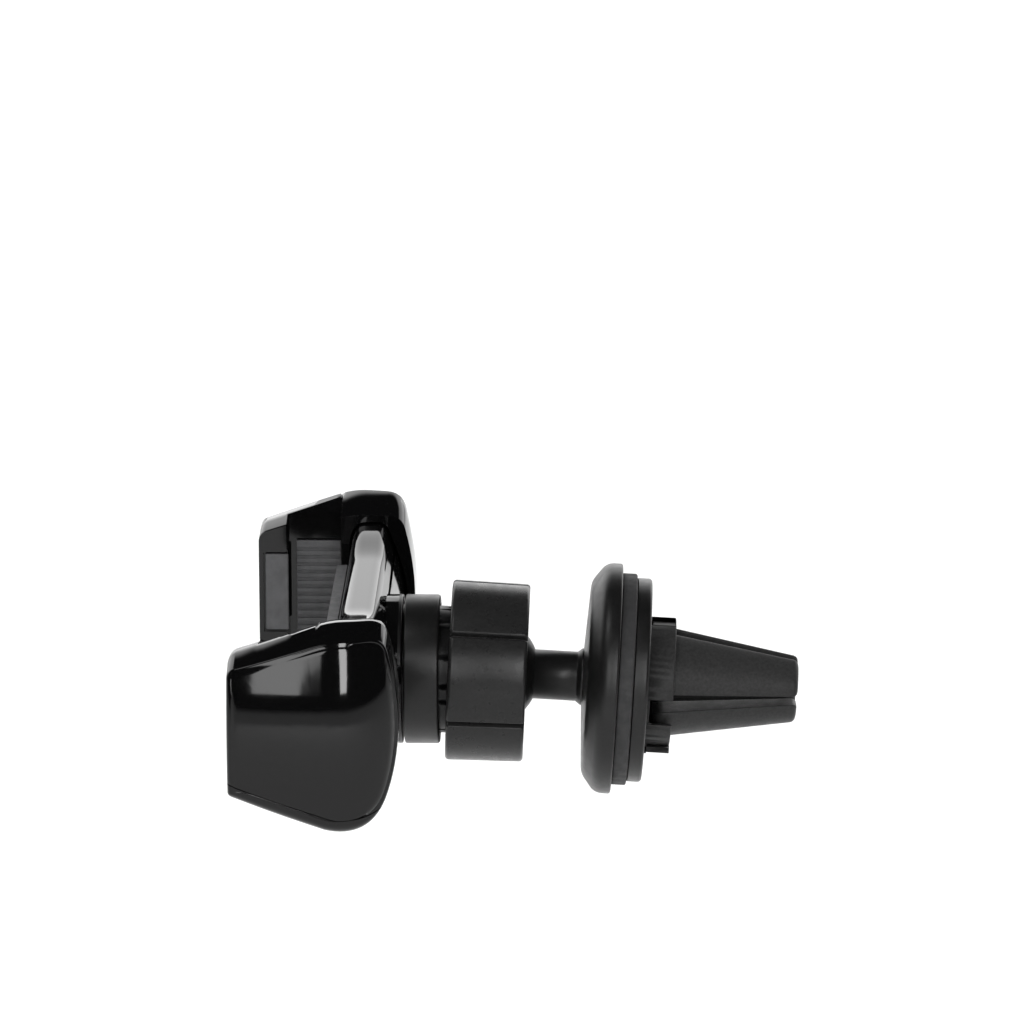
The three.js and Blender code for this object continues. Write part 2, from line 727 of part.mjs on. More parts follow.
function clipScrew() {
  const head = rod(25.3, 26.7, 2.3, 16);
  const shank = rod(14.5, 25.5, 1.25, 12);
  const slot = block([26.1, -0.35, -3], [27, 0.35, 3]);
  return cut(join(head, shank), slot);
}

function addVentSide() {
  const group = new THREE.Group();
  group.position.set(BALL.x, 0, BALL.z);
  group.rotation.y = THREE.MathUtils.degToRad(CLIP_TILT);
  add(group, "ball_stud", ballStud(), "satinBlack");
  add(group, "dome_cap", domeCap(), "satinBlack");
  add(group, "seal_ring", sealRing(), "rubber");
  add(group, "base_plate", basePlate(), "satinBlack");
  add(group, "clip_base", clipBase(), "texturedBlack");
  add(group, "clip_screw", clipScrew(), "steel");
  for (const [sideName, side] of [["right", -1], ["left", 1]]) {
    add(group, `upper_${sideName}_finger`, finger(true, side), "texturedBlack");
    add(group, `lower_${sideName}_finger`, finger(false, side), "texturedBlack");
  }
  product.add(group);
}

addArm("left", 1);
addArm("right", -1);
addHolder();
addBallJoint();
addVentSide();

export default product;
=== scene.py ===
"""Vent-clip phone mount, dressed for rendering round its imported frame.

The model's frame: the origin is where the phone's back rests, +X points to the air vent, the two
arms slide along Y, and +Z is up. Shapes are described in millimetres and built in metres.
"""
import json
import math

import bmesh
import bpy
from mathutils import Matrix, Vector


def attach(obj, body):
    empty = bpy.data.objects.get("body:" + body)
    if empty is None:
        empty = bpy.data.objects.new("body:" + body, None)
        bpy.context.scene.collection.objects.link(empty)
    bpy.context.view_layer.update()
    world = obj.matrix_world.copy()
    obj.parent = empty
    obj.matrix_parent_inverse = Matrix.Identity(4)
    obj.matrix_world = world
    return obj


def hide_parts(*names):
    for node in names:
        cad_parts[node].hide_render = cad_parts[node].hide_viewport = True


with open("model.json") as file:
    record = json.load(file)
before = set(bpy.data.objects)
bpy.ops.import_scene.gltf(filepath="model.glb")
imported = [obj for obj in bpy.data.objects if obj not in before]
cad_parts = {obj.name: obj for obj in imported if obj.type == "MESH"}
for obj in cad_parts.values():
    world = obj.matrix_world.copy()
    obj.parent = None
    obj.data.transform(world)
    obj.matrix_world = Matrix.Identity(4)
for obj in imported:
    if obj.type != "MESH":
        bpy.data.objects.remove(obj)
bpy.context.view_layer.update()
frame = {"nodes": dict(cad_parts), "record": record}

MM = 0.001

# ---- Driving sizes, in millimetres and degrees ----

BALL = Vector((23.0, 0.0, -0.3))
BALL_RADIUS = 8.5
SOCKET_TILT = 2.5
VENT_TILT = 3.2

# The arm at +Y. Its outer face is flat along X in the middle and curves in towards every side.
ARM_INNER = 30.2
ARM_OUTER = 44.0
ARM_TOP = 15.8
ARM_MIDDLE = (0.0, 1.6)
ROOF_LIFT = 2.1
ROOF_LIFT_FROM = 5.0
ROOF_STATIONS = ((0.25, 0.5), (0.5, 0.86), (0.75, 1.0))
FLAT_LEVEL = 1.0
FLAT_REAR = 1.0
FLAT_FRONT = -2.0
UPPER_CURVE = 0.0135
LOWER_CURVE = 0.010
FRONT_CURVE = 0.008
REAR_DROP = 7.5
REAR_REACH = 11.6
CROWN_SHARES = (0.97, 0.93, 0.88, 0.82, 0.75, 0.67, 0.58, 0.48, 0.37, 0.25, 0.12)
FILLET_STEPS = 6
TUNNEL_END = 40.3
TUNNEL_PLAY = 0.3
SEAM_GAP = 0.16

# The phone's room and the pads that touch it.
PHONE_HALF = 35.75
PHONE_DEPTH = 7.4
PAD_PLAY = 0.3
SIDE_PAD = 0.6
SIDE_PAD_BOTTOM = -4.2
SIDE_PAD_TOP = 10.2
RIB_PITCH = 1.2
RIB_GROOVE = (0.5, 0.28)
LIP_REACH = 32.5
LIP_FRONT = -12.6
LIP_RECESS = 0.9

# The body between the arms, with a shallow waist in its top.
BODY_HALF = 36.5
BODY_FRONT = 1.9
BODY_WALL = 1.3
BODY_SEAM = 8.7
BODY_LEVEL = 2.0
BODY_ABOVE = 12.4
WAIST = 1.1
INNER_WAIST = 0.8
WAIST_ENDS = (14.0, 28.2)
SCREW_PLACES = (-26, -12, 12, 26)
SCREW_HEAD = 1.8
SCREW_SHANK = 1.0
GEAR_Z = 2.3
BOSS_RADIUS = 11.15
BOSS_END = 11.1
SATIN_FROM = 10.45

# The socket, collar and nut, along the socket's or the model's X.
NECK_RADIUS = 9.5
THREAD_RADIUS = 10.0
SEAT_RADIUS = 10.1
CUP_RADIUS = BALL_RADIUS + 0.35
CUP_SLOT = 1.4
COLLAR = (11.4, 16.6)
COLLAR_BORE = NECK_RADIUS + 0.45
NUT_ENDS = (-5.1, 6.5)
NUT_RADIUS = 13.65
NUT_BORE = 10.4
NUT_MOUTH = 7.7
NUT_LOBES = 6
NUT_CROWN = 0.3
NUT_TURN = math.radians(21.0)
NUT_GROOVE = (0.55, 0.75)

# The vent side, along X from the ball's centre.
STEM_RADIUS = 3.7
CAP_RADIUS = 17.25
CAP_END = 20.0
SEAL_ENDS = (20.05, 22.25)
SEAL_RADIUS = 15.85
PLATE_ENDS = (22.3, 24.5)
PLATE_RADIUS = 15.25
SCREW_HOLE = 1.6
CLIP_ENDS = (24.5, 28.4)
SLEEVE_RADII = (8.9, 9.6)
FINGER_LENGTH = (25.5, 47.0)
FINGER_RADIUS = (8.5, 4.9)
FINGER_CORNER = 0.45
FINGER_TIP = 0.7

# The stage, in metres.
FLOOR_HALF = 30.0
FLOOR_HEIGHT = -0.16
LAMP_DISTANCE = 1.35


# ---- Placing ----

def leaning(tilt):
    """From a turned part's own frame, +X from the ball's centre, to the model's frame."""
    return Matrix.Translation(BALL) @ Matrix.Rotation(math.radians(tilt), 4, "Y")


SOCKET = leaning(SOCKET_TILT)
VENT = leaning(VENT_TILT)
HERE = Matrix.Identity(4)
AXIS = 0.004


# ---- Mesh helpers ----

def mesh_piece(name, points, faces, place=HERE):
    mesh = bpy.data.meshes.new(name)
    located = [(place @ Vector(point)) * MM for point in points]
    mesh.from_pydata(located, [], faces)
    mesh.validate()
    piece = bpy.data.objects.new(name, mesh)
    bpy.context.scene.collection.objects.link(piece)
    outward(piece)
    return piece


def outward(piece):
    """Points every face outwards and shades the piece smoothly."""
    bm = bmesh.new()
    bm.from_mesh(piece.data)
    bmesh.ops.remove_doubles(bm, verts=bm.verts, dist=1e-7)
    bmesh.ops.recalc_face_normals(bm, faces=bm.faces)
    for face in bm.faces:
        face.smooth = True
    bm.to_mesh(piece.data)
    bm.free()


def apply_modifiers(piece):
    depsgraph = bpy.context.evaluated_depsgraph_get()
    mesh = bpy.data.meshes.new_from_object(piece.evaluated_get(depsgraph))
    piece.modifiers.clear()
    piece.data = mesh


def combine(piece, tool, operation):
    """Cuts the tool out of the piece, adds it, or keeps only what both hold. The tool is used up."""
    modifier = piece.modifiers.new("cut", "BOOLEAN")
    modifier.operation = operation
    modifier.solver = "EXACT"
    modifier.object = tool
    apply_modifiers(piece)
    bpy.data.objects.remove(tool)


def cut(piece, *tools):
    for tool in tools:
        combine(piece, tool, "DIFFERENCE")


def soften(piece, width, segments=3, angle=32):
    """Rounds the sharp edges and keeps the flats flat."""
    for face in piece.data.polygons:
        face.use_smooth = True
    bevel = piece.modifiers.new("edges", "BEVEL")
    bevel.width = width * MM
    bevel.segments = segments
    bevel.limit_method = "ANGLE"
    bevel.angle_limit = math.radians(angle)
    bevel.use_clamp_overlap = True
    bevel.miter_outer = "MITER_ARC"
    bevel.harden_normals = False
    even = piece.modifiers.new("normals", "WEIGHTED_NORMAL")
    even.keep_sharp = True
    even.weight = 80


def block(low, high):
    x_pair, y_pair, z_pair = zip(low, high)
    corners = [(x, y, z) for x in x_pair for y in y_pair for z in z_pair]
    faces = [(0, 1, 3, 2), (4, 6, 7, 5), (0, 4, 5, 1), (2, 3, 7, 6), (0, 2, 6, 4), (1, 5, 7, 3)]
    return mesh_piece("block", corners, faces)


def skin(rings, closed_ends=True):
    """Points and faces of a skin over rings of points that have equal counts."""
    count = len(rings[0])
    points = [point for ring in rings for point in ring]
    faces = []
    for r in range(len(rings) - 1):
        for i in range(count):
            after = (i + 1) % count
            near, far = r * count, (r + 1) * count
            faces.append((near + i, near + after, far + after, far + i))
    if closed_ends:
        last = (len(rings) - 1) * count
        faces.append(tuple(range(count)))
        faces.append(tuple(last + i for i in reversed(range(count))))
    return points, faces


def rounded(corners, steps=5):
    """A closed outline with each corner (x, y, radius) turned into an arc."""
    outline = []
    count = len(corners)
    for i, (x, y, radius) in enumerate(corners):
        here = Vector((x, y))
        back = Vector(corners[i - 1][:2]) - here
        ahead = Vector(corners[(i + 1) % count][:2]) - here
        if radius <= 0:
            outline.append((x, y))
            continue
        half = back.angle(ahead) / 2
        reach = min(radius / math.tan(half), 0.49 * back.length, 0.49 * ahead.length)
        radius = reach * math.tan(half)
        centre = here + (back.normalized() + ahead.normalized()).normalized() * (radius / math.sin(half))
        start = here + back.normalized() * reach - centre
        end = here + ahead.normalized() * reach - centre
        sweep = start.angle_signed(end)
        for k in range(steps + 1):
            spoke = start.copy()
            spoke.rotate(Matrix.Rotation(-sweep * k / steps, 2))
            outline.append(tuple(centre + spoke))
    return outline


def turned(name, corners, place, segments=144, reach=None, spacing=None):
    """A solid of revolution about X from closed (x, radius, rounding) corners.

    reach(x, radius, angle) gives a radius that changes round the axis, and spacing(angle) packs
    the segments closer where the shape needs them.
    """
    profile = rounded(corners)
    rings = []
    for k in range(segments):
        angle = 2 * math.pi * k / segments
        angle = spacing(angle) if spacing else angle
        ring = []
        for x, radius in profile:
            far = reach(x, radius, angle) if reach else radius
            ring.append((x, far * math.cos(angle), far * math.sin(angle)))
        rings.append(ring)
    points, faces = skin(rings + [rings[0]], closed_ends=False)
    return mesh_piece(name, points, faces, place)


def curve(start, *stretches, steps=12):
    """Points of an outline. A stretch of one point is a line, of two a quadratic, of three a cubic."""
    points = [start]
    for stretch in stretches:
        control = [points[-1], *stretch]
        count = steps if len(stretch) > 1 else 1
        for k in range(1, count + 1):
            points.append(bezier(control, k / count))
    return points


def evenly(outline, step):
    """The closed outline with points added so that no side is longer than step."""
    points = []
    for i, end in enumerate(outline):
        start = Vector(outline[i - 1])
        count = max(1, math.ceil((Vector(end) - start).length / step))
        points += [tuple(start.lerp(Vector(end), k / count)) for k in range(1, count + 1)]
    return points


def bezier(control, t):
    level = [Vector(point) for point in control]
    while len(level) > 1:
        level = [a.lerp(b, t) for a, b in zip(level, level[1:])]
    return tuple(level[0])


def prism(name, outline, y0, y1):
    rings = [[(x, y, z) for x, z in outline] for y in (y0, y1)]
    return mesh_piece(name, *skin(rings))


def offset(outline, distance):
    """The same XZ outline moved outwards, or inwards where the distance is negative."""
    points = [Vector(point) for point in outline]
    count = len(points)
    area = sum(a.x * b.y - b.x * a.y for a, b in zip(points, points[1:] + points[:1]))
    turn = 1 if area > 0 else -1
    moved = []
    for i, point in enumerate(points):
        before = (point - points[i - 1]).normalized()
        after = (points[(i + 1) % count] - point).normalized()
        normal = Vector((before.y + after.y, -before.x - after.x)).normalized()
        shifted = point + normal * distance * turn
        clear = to_outline(shifted, points) > abs(distance) - 0.02
        if clear and (not moved or (shifted - moved[-1]).length > 0.12):
            moved.append(shifted)
    return [tuple(point) for point in moved]


def to_outline(point, outline):
    """Distance from a point to the nearest side of an outline."""
    best = math.inf
    for i, end in enumerate(outline):
        along = end - outline[i - 1]
        share = (point - outline[i - 1]).dot(along) / max(along.length_squared, 1e-12)
        nearest = outline[i - 1] + along * min(1.0, max(0.0, share))
        best = min(best, (nearest - point).length)
    return best


# ---- Materials ----

def material(name, base, roughness, ior=1.45):
    made = bpy.data.materials.new(name)
    made.use_nodes = True
    shader = made.node_tree.nodes["Principled BSDF"]
    shader.inputs["Base Color"].default_value = (*base, 1)
    shader.inputs["Roughness"].default_value = roughness
    shader.inputs["IOR"].default_value = ior
    return made, shader


def noise(made, scale, detail=4.0, rough=0.55):
    """Noise over the object's own millimetres."""
    nodes, links = made.node_tree.nodes, made.node_tree.links
    place = nodes.new("ShaderNodeTexCoord")
    texture = nodes.new("ShaderNodeTexNoise")
    texture.inputs["Scale"].default_value = scale / MM
    texture.inputs["Detail"].default_value = detail
    texture.inputs["Roughness"].default_value = rough
    links.new(place.outputs["Object"], texture.inputs["Vector"])
    return texture.outputs["Fac"]


def spread(made, value, low, high, narrow=0.25):
    """Maps noise, which stays near its middle, onto a range of values."""
    mapped = made.node_tree.nodes.new("ShaderNodeMapRange")
    mapped.inputs["From Min"].default_value = 0.5 - narrow
    mapped.inputs["From Max"].default_value = 0.5 + narrow
    mapped.inputs["To Min"].default_value = low
    mapped.inputs["To Max"].default_value = high
    made.node_tree.links.new(value, mapped.inputs["Value"])
    return mapped.outputs["Result"]


def tint(made, shader, value, dark, light):
    ramp = made.node_tree.nodes.new("ShaderNodeMix")
    ramp.data_type = "RGBA"
    ramp.inputs["A"].default_value = (*dark, 1)
    ramp.inputs["B"].default_value = (*light, 1)
    made.node_tree.links.new(value, ramp.inputs["Factor"])
    made.node_tree.links.new(ramp.outputs["Result"], shader.inputs["Base Color"])


def bumps(made, shader, layers):
    """Stacks bump layers, each (height, strength, depth in millimetres)."""
    nodes, links = made.node_tree.nodes, made.node_tree.links
    below = None
    for height, strength, depth in layers:
        bump = nodes.new("ShaderNodeBump")
        bump.inputs["Strength"].default_value = strength
        bump.inputs["Distance"].default_value = depth * MM
        links.new(height, bump.inputs["Height"])
        if below:
            links.new(below, bump.inputs["Normal"])
        below = bump.outputs["Normal"]
    links.new(below, shader.inputs["Normal"])


def piano_black():
    """Polished moulding: a faint orange peel, soft wipe marks and a little dust."""
    made, shader = material("piano_black", (0.0015, 0.0015, 0.0016), 0.05, 1.32)
    links = made.node_tree.links
    links.new(spread(made, noise(made, 0.12), 0.035, 0.085), shader.inputs["Roughness"])
    dust = spread(made, noise(made, 6.0, 2.0), 0.0, 1.0, 0.2)
    tint(made, shader, dust, (0.001, 0.001, 0.0011), (0.0025, 0.0025, 0.0026))
    bumps(made, shader, [(noise(made, 0.25, 2.0), 0.05, 0.02)])
    return made


def satin_black(name="satin_black", level=0.004, rough=(0.3, 0.42), grain=0.12, ior=1.33):
    """Fine spark-eroded texture on a satin moulding."""
    made, shader = material(name, (level, level, level * 1.04), rough[0], ior)
    links = made.node_tree.links
    links.new(spread(made, noise(made, 0.6), *rough), shader.inputs["Roughness"])
    mottle = spread(made, noise(made, 2.5, 3.0), 0.0, 1.0)
    tint(made, shader, mottle, (level * 0.75,) * 3, (level * 1.3,) * 3)
    bumps(made, shader, [(noise(made, 9.0, 3.0), grain, 0.03), (noise(made, 1.2), 0.08, 0.03)])
    return made


def cover_black():
    """The back cover: polished like the body, with a satin boss and neck."""
    made = piano_black()
    made.name = "cover_black"
    nodes, links = made.node_tree.nodes, made.node_tree.links
    place = nodes.new("ShaderNodeTexCoord")
    split = nodes.new("ShaderNodeSeparateXYZ")
    links.new(place.outputs["Object"], split.inputs["Vector"])
    finish = nodes.new("ShaderNodeMapRange")
    finish.inputs["From Min"].default_value = SATIN_FROM * MM
    finish.inputs["From Max"].default_value = (SATIN_FROM + 0.1) * MM
    finish.inputs["To Min"].default_value = 0.06
    finish.inputs["To Max"].default_value = 0.36
    links.new(split.outputs["X"], finish.inputs["Value"])
    links.new(finish.outputs["Result"], nodes["Principled BSDF"].inputs["Roughness"])
    return made


def rubber(name, base, grain):
    """Matte moulded rubber with a soft, uneven bloom."""
    made, shader = material(name, base, 0.7, 1.45)
    links = made.node_tree.links
    links.new(spread(made, noise(made, 0.8), 0.6, 0.85), shader.inputs["Roughness"])
    bloom = spread(made, noise(made, 0.5, 5.0), 0.0, 1.0)
    tint(made, shader, bloom, [c * 0.8 for c in base], [c * 1.2 for c in base])
    bumps(made, shader, [(noise(made, 6.0, 4.0), grain, 0.04)])
    return made


def acetal():
    """Natural white acetal, slightly waxy, with faint flow marks."""
    made, shader = material("acetal", (0.72, 0.7, 0.65), 0.38, 1.48)
    flow = spread(made, noise(made, 0.7, 3.0), 0.0, 1.0)
    tint(made, shader, flow, (0.66, 0.64, 0.59), (0.76, 0.74, 0.7))
    shader.inputs["Subsurface Weight"].default_value = 0.15
    shader.inputs["Subsurface Radius"].default_value = (0.0012, 0.001, 0.0008)
    bumps(made, shader, [(noise(made, 3.0), 0.05, 0.02)])
    return made


def steel():
    """Zinc-plated steel with an uneven plating tone, varying roughness and a fine grain."""
    made, shader = material("steel", (0.55, 0.56, 0.58), 0.3)
    shader.inputs["Metallic"].default_value = 1.0
    plating = spread(made, noise(made, 1.5, 5.0), 0.0, 1.0)
    tint(made, shader, plating, (0.46, 0.47, 0.49), (0.62, 0.63, 0.65))
    links = made.node_tree.links
    links.new(spread(made, noise(made, 4.0), 0.22, 0.42), shader.inputs["Roughness"])
    bumps(made, shader, [(noise(made, 8.0, 2.0), 0.1, 0.01)])
    return made


LOOKS = {
    "piano_black": piano_black(),
    "satin_black": satin_black(),
    "cover_black": cover_black(),
    "nut_black": satin_black("nut_black", 0.009, (0.24, 0.36), 0.3, 1.28),
    "textured_black": satin_black("textured_black", 0.017, (0.36, 0.5), 0.6, 1.22),
    "soft_grey": rubber("soft_grey", (0.05, 0.05, 0.052), 0.2),
    "seal_rubber": rubber("seal_rubber", (0.013, 0.013, 0.0135), 0.15),
    "acetal": acetal(),
    "steel": steel(),
}


def finish_piece(piece, body, slot, *nodes, look=None):
    """Gives a piece the material named by look, or else by its slot, puts it on its body, and hides the
    frame's nodes that it stands for.
    """
    piece.data.materials.clear()
    piece.data.materials.append(LOOKS[look or slot])
    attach(piece, body)
    if nodes:
        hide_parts(*nodes)
    return piece


def dress_frame():
    """Every node carried over from the frame gets its slot's material."""
    for entry in frame["record"]["subparts"]:
        node = frame["nodes"][entry["node"]]
        node.data.materials.clear()
        node.data.materials.append(LOOKS[entry["material_slot"]])


# ---- Arms ----

def arm_outline():
    top = ARM_TOP
    return curve(
        (LIP_FRONT, 10.4),
        [(LIP_FRONT, 11.6), (LIP_FRONT + 1.2, 11.95)],
        [(-0.9, 15.0)],
        [(0.8, 15.5), (2.2, top), (4.0, top)],
        [(7.2, top)],
        [(9.0, top), (10.0, 15.2), (10.4, 13.2)],
        [(12.2, 6.2), (12.4, -1.0), (9.9, -7.8)],
        [(8.3, -11.7), (5.5, -13.5), (1.2, -12.25)],
        [(LIP_FRONT + 1.0, -7.45)],
        [(LIP_FRONT, -7.1), (LIP_FRONT, -6.2)],
        steps=16,
    )


def lifted(x, z, lift):
    """A point of the outline, raised where it belongs to the arm's roof."""
    height = (z - ROOF_LIFT_FROM) / (ARM_TOP - ROOF_LIFT_FROM)
    return (x, z + lift * max(0.0, height))


def bulge(x, z):
    """The outer face's distance from the middle plane."""
    upper = max(0.0, z - FLAT_LEVEL)
    lower = max(0.0, FLAT_LEVEL - z)
    rear = max(0.0, x - FLAT_REAR)
    front = max(0.0, FLAT_FRONT - x)
    drop = UPPER_CURVE * upper ** 2 + LOWER_CURVE * lower ** 2
    drop += REAR_DROP * (1 - math.sqrt(max(0.0, 1 - (rear / REAR_REACH) ** 2)))
    return ARM_OUTER - drop - FRONT_CURVE * front ** 2


def edge_radius(out):
    """How softly the outer face turns into the side that looks along out."""
    return 0.45 + 1.6 * max(0.0, -out.y) ** 2 + 0.5 * max(0.0, -out.x) ** 2


def roof_ring(outline, share, lift):
    """The outline between the inner wall and the outer face, on the lifted roof."""
    ring = []
    for point in outline:
        end = bulge(*point) - edge_radius(Vector((0, 1)))
        x, z = lifted(*point, lift)
        ring.append((x, ARM_INNER + (end - ARM_INNER) * share, z))
    return ring


def fillet_ring(outline, angle):
    """One ring of the rounding between the arm's sides and its outer face."""
    count = len(outline)
    ring = []
    for i, point in enumerate(outline):
        along = Vector(outline[(i + 1) % count]) - Vector(outline[i - 1])
        radius = edge_radius(Vector((-along.y, along.x)).normalized())
        inwards = (Vector(ARM_MIDDLE) - Vector(point)).normalized()
        x, z = Vector(point) + inwards * radius * (1 - math.cos(angle))
        ring.append((x, bulge(*point) - radius * (1 - math.sin(angle)), z))
    return ring


def arm_form():
    """The arm's whole outer form at +Y.

    Its roof rises from the inner wall, the rim is rounded, and the outer face bulges.
    """
    outline = evenly(arm_outline(), 0.9)
    rings = [[(x, ARM_INNER, z) for x, z in outline]]
    rings += [roof_ring(outline, share, ROOF_LIFT * height) for share, height in ROOF_STATIONS]
    for k in range(FILLET_STEPS + 1):
        rings.append(fillet_ring(outline, math.radians(90 * k / FILLET_STEPS)))
    middle = Vector(ARM_MIDDLE)
    inner = [Vector((x, z)) for x, _, z in rings[-1]]
    for share in CROWN_SHARES:
        ring = [middle.lerp(point, share) for point in inner]
        rings.append([(p.x, bulge(p.x, p.y), p.y) for p in ring])
    points, faces = skin(rings)
    return close_on_point(points, faces, len(outline), (middle.x, bulge(*middle), middle.y))


def close_on_point(points, faces, count, tip):
    """Swaps the last ring's flat end for a fan of faces round one point."""
    faces.pop()
    last, centre = len(points) - count, len(points)
    points.append(tip)
    faces += [(last + i, last + (i + 1) % count, centre) for i in range(count)]
    return points, faces


def phone_space():
    wall = PHONE_HALF + SIDE_PAD + PAD_PLAY
    lip_back = -PHONE_DEPTH - SIDE_PAD - PAD_PLAY
    side = block((lip_back, 0, -30), (0.4, wall, 30))
    front = block((LIP_FRONT - 5, -1, -31), (0.4, LIP_REACH, 31))
    combine(side, front, "UNION")
    return side


def below_seam(shift):
    """The lower cover's space, under a seam that sweeps from the lip to the rear."""
    outline = curve(
        (LIP_FRONT - 3, -3.85 - shift),
        [(0.4, -9.5 - shift)],
        [(3.6, -10.9 - shift), (6.2, -10.9 - shift), (9.0, -9.1 - shift)],
        [(15, -5.2 - shift)],
        [(15, -25)],
        [(LIP_FRONT - 3, -25)],
    )
    return prism("below_seam", outline, 0, 60)


def arm_tunnel():
    return prism("tunnel", offset(body_outline(), TUNNEL_PLAY), ARM_INNER - 5, TUNNEL_END)


def rack_pocket():
    """Room for the rack's upright behind the tunnel."""
    return block((3.3, TUNNEL_END - 1, -7.3), (6.6, 41.75, 9.7))


def roof_notch():
    """The shallow V where the lip's part of the roof meets the rest."""
    return prism("notch", [(0.1, 16.9), (1.9, 18.6), (-0.7, 18.6)], ARM_INNER - 1, ARM_OUTER + 1)


def lip_recess():
    return block((-11.9, LIP_REACH - 2, -3.6), (-8.0, LIP_REACH + LIP_RECESS, 9.2))


def mirror_if(piece, side):
    if side < 0:
        piece.data.transform(Matrix.Diagonal((1, -1, 1, 1)))
        piece.data.flip_normals()


def build_arm(name, side):
    body = f"{name}_arm"
    shell = mesh_piece(f"{name}_arm_casing", *arm_form())
    cover = mesh_piece(f"{name}_arm_underside", *arm_form())
    cut(shell, phone_space(), arm_tunnel(), rack_pocket(), lip_recess(), roof_notch())
    cut(shell, below_seam(-SEAM_GAP / 2))
    combine(cover, below_seam(SEAM_GAP / 2), "INTERSECT")
    cut(cover, phone_space())
    for piece, node in ((shell, "arm_shell"), (cover, "arm_lower_cover")):
        soften(piece, 0.18, angle=38)
        apply_modifiers(piece)
        mirror_if(piece, side)
        finish_piece(piece, body, "piano_black", f"{name}_{node}")
    pads = ((side_pad(name), "side_pad"), (lip_pad(name), "lip_pad"))
    for piece, node in pads:
        mirror_if(piece, side)
        finish_piece(piece, body, "soft_grey", f"{name}_{node}")


def side_pad(name):
    """A ribbed strip against the phone's side."""
    piece = block((-6.9, PHONE_HALF, SIDE_PAD_BOTTOM), (0.0, PHONE_HALF + SIDE_PAD, SIDE_PAD_TOP))
    piece.name = f"{name}_side_grip"
    width, depth = RIB_GROOVE
    grooves = int((SIDE_PAD_TOP - SIDE_PAD_BOTTOM - 1) / RIB_PITCH)
    for k in range(grooves):
        z = SIDE_PAD_BOTTOM + 1 + k * RIB_PITCH
        low = (-8, PHONE_HALF - 1, z - width / 2)
        cut(piece, block(low, (1, PHONE_HALF + depth, z + width / 2)))
    soften(piece, 0.1, 2)
    apply_modifiers(piece)
    return piece


def lip_pad(name):
    piece = block((-11.6, LIP_REACH, -3.3), (-8.0, LIP_REACH + 0.6, 8.9))
    piece.name = f"{name}_lip_grip"
    soften(piece, 0.25)
    apply_modifiers(piece)
    return piece


# ---- Holder ----

def body_outline():
    return curve(
        (BODY_FRONT, -8.2),
        [(BODY_FRONT, 10.6)],
        [(2.0, 13.0), (2.7, 14.4), (4.2, 14.4)],
        [(6.0, 14.4)],
        [(7.2, 14.4), (7.6, 13.2), (7.9, 12.2)],
        [(9.4, 8.6), (10.4, 5.0), (10.4, 1.5)],
        [(10.3, -3.0), (9.2, -7.2), (7.3, -9.1)],
        [(6.9, -9.5), (6.3, -9.5)],
        [(3.4, -9.5)],
        [(2.0, -9.5), (BODY_FRONT, -8.2)],
        steps=16,
    )[:-1]


def waisted(name, outline, half, depth):
    """The outline run along Y, with its upper part dipping by depth in the middle."""
    flat_end, slope_end = WAIST_ENDS
    rings = []
    steps = 48
    for k in range(steps + 1):
        y = half * (2 * k / steps - 1)
        share = min(1.0, max(0.0, (abs(y) - flat_end) / (slope_end - flat_end)))
        drop = depth * 0.5 * (1 + math.cos(math.pi * share))
        rings.append([(x, y, z - drop * max(0.0, (z - BODY_LEVEL) / BODY_ABOVE)) for x, z in outline])
    return mesh_piece(name, *skin(rings))


def body_tube():
    tube = waisted("tube", evenly(body_outline(), 1.2), BODY_HALF, WAIST)
    inside = evenly(offset(body_outline(), -BODY_WALL), 1.2)
    cut(tube, waisted("inside", inside, BODY_HALF + 1, INNER_WAIST))
    return tube


def build_front_shell():
    piece = body_tube()
    piece.name = "front_casing"
    cut(piece, block((BODY_SEAM - SEAM_GAP / 2, -60, -30), (30, 60, 30)))
    soften(piece, 0.15, angle=38)
    apply_modifiers(piece)
    finish_piece(piece, "holder", "piano_black", "front_shell")


def build_back_cover():
    piece = body_tube()
    piece.name = "back_casing"
    cut(piece, block((-30, -60, -30), (BODY_SEAM + SEAM_GAP / 2, 60, 30)))
    inside, end = BODY_SEAM - 0.1, BOSS_END
    boss = turned(
        "boss",
        [(inside, 0.02, 0), (inside, BOSS_RADIUS, 0), (end, BOSS_RADIUS, 0.25), (end, 0.02, 0)],
        HERE,
        96,
    )
    combine(piece, boss, "UNION")
    combine(piece, build_socket(), "UNION")
    for y in SCREW_PLACES:
        place = Matrix.Translation(Vector((0, y, GEAR_Z)))
        seat = [(9.55, AXIS, 0), (9.55, SCREW_HEAD, 0), (14.0, SCREW_HEAD, 0), (14.0, AXIS, 0)]
        hole = [(6.0, AXIS, 0), (6.0, SCREW_SHANK, 0), (9.7, SCREW_SHANK, 0), (9.7, AXIS, 0)]
        cut(piece, turned("seat", seat, place, 48), turned("hole", hole, place, 32))
    soften(piece, 0.15, angle=38)
    apply_modifiers(piece)
    finish_piece(piece, "holder", "satin_black", "back_cover", look="cover_black")


